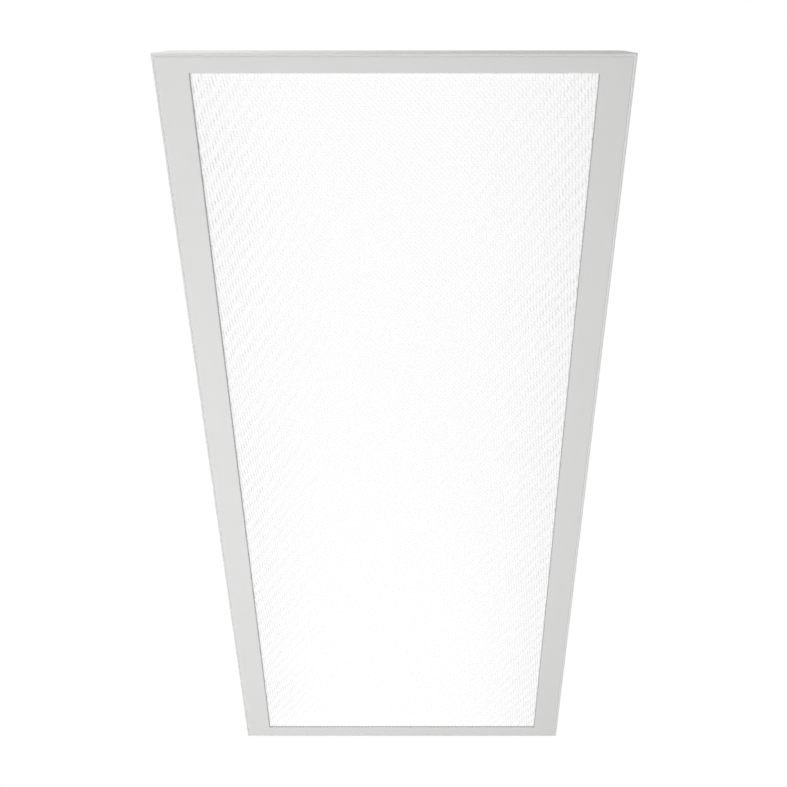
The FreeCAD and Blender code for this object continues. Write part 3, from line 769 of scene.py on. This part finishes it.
@dataclass(frozen=True)
class Lamp:
    """One soft rectangular lamp, seen only by its light."""

    name: str
    place: tuple[float, float, float]
    aim: tuple[float, float, float]
    size: tuple[float, float]
    power: float

    def hang(self) -> None:
        """Adds the lamp to the scene."""
        data = bpy.data.lights.new(self.name, "AREA")
        data.shape = "RECTANGLE"
        data.size, data.size_y = self.size
        data.energy = self.power
        lamp = bpy.data.objects.new(self.name, data)
        away = Vector(self.place) - Vector(self.aim)
        turn = away.to_track_quat("Z", "Y").to_matrix().to_4x4()
        lamp.matrix_world = Matrix.Translation(self.place) @ turn
        lamp.visible_camera = False
        lamp.visible_glossy = False
        bpy.context.scene.collection.objects.link(lamp)


@dataclass
class Studio:
    """Camera, world, lamps and floor."""

    focal_px: float = 767.65
    image_px: float = 787.0
    principal_x: float = 415.39
    principal_y: float = 410.0
    tilt: float = math.radians(27.155)
    stand: tuple[float, float, float] = (0.0262, -0.647, -1.0454)
    sensor: float = 36.0
    floor_drop: float = 1.75
    floor_half: float = 9.0
    floor_roughness: float = 0.8
    floor_tones: tuple[Colour, Colour] = ((0.80, 0.80, 0.80), (0.84, 0.84, 0.84))
    floor_cloud: tuple[float, float] = (1.3, 3.0)
    ambient: float = 0.16
    lamps: tuple[Lamp, ...] = (
        Lamp("below", (-0.46, 0.0, -1.5), (-0.1, 0.0, 0.0), (2.6, 3.2), 31.2),
        Lamp("near_left", (-0.42, -1.2, 0.14), (-0.42, -0.6, 0.04), (0.3, 0.1), 2.9),
        Lamp("above", (0.5, 0.9, 2.2), (0.0, 0.1, 0.0), (1.8, 1.8), 40.0),
        Lamp("right_far", (1.9, 1.5, 0.5), (0.2, 0.3, 0.05), (1.2, 1.2), 30.0),
        Lamp("left_far", (-1.9, 1.1, 0.6), (-0.2, 0.2, 0.05), (1.2, 1.2), 30.0),
    )

    def build(self) -> None:
        """Sets up everything that isn't the object."""
        self._camera()
        self._world()
        self._floor()
        for lamp in self.lamps:
            lamp.hang()
        LOG.info("studio: %d lamps", len(self.lamps))

    def _camera(self) -> None:
        """Places the camera below the near edge, looking up and along the light."""
        data = bpy.data.cameras.new("camera")
        data.sensor_width = self.sensor
        data.lens = self.sensor * self.focal_px / self.image_px
        middle = self.image_px / 2
        data.shift_x = -(self.principal_x - middle) / self.image_px
        data.shift_y = (self.principal_y - middle) / self.image_px
        camera = bpy.data.objects.new("camera", data)
        ahead = Vector((0.0, math.sin(self.tilt), math.cos(self.tilt)))
        up = Vector((0.0, -math.cos(self.tilt), math.sin(self.tilt)))
        turn = Matrix((Vector((1.0, 0.0, 0.0)), up, -ahead)).transposed()
        camera.matrix_world = Matrix.Translation(self.stand) @ turn.to_4x4()
        bpy.context.scene.collection.objects.link(camera)
        bpy.context.scene.camera = camera

    def _world(self) -> None:
        """White to the eye and in reflections, softer as a light."""
        world = bpy.data.worlds.new("room")
        world.use_nodes = True
        graph = Graph(world.node_tree)
        rays = graph.node("ShaderNodeLightPath", {}, {})
        kinds = ("Is Camera Ray", "Is Glossy Ray", "Is Transmission Ray")
        camera, glossy, transmission = (Value(graph, rays.outputs[kind]) for kind in kinds)
        seen = camera.at_least(glossy).at_least(transmission)
        soft = graph.node("ShaderNodeBackground", {}, {"Color": WHITE, "Strength": self.ambient})
        white = graph.node("ShaderNodeBackground", {}, {"Color": WHITE, "Strength": 1.0})
        sky = graph.node("ShaderNodeMixShader", {}, {0: seen, 1: soft.outputs[0], 2: white.outputs[0]})
        graph.node("ShaderNodeOutputWorld", {}, {"Surface": sky.outputs[0]})
        bpy.context.scene.world = world

    def _floor(self) -> None:
        """A pale floor well below the camera."""
        mesh = bmesh.new()
        bmesh.ops.create_grid(mesh, x_segments=1, y_segments=1, size=self.floor_half)
        bmesh.ops.translate(mesh, vec=(0, 0, -self.floor_drop), verts=mesh.verts)
        data = bpy.data.meshes.new("floor")
        mesh.to_mesh(data)
        mesh.free()
        floor = bpy.data.objects.new("floor", data)
        shader = Shader("floor")
        where = shader.place()
        clouds = shader.noise(where["all"], *self.floor_cloud)
        colour = shader.mixed(clouds, *(solid(tone) for tone in self.floor_tones))
        data.materials.append(shader.finished({"Base Color": colour, "Roughness": self.floor_roughness}))
        bpy.context.scene.collection.objects.link(floor)


def main() -> None:
    """Builds the scene in order."""
    logging.basicConfig(level=logging.INFO, format="%(name)s: %(message)s")
    bpy.context.scene.view_settings.view_transform = "Standard"
    wardrobe = Wardrobe()
    wardrobe.dress_nodes()
    PrismLens(wardrobe).build()
    Studio().build()


if __name__ == "__main__":
    main()
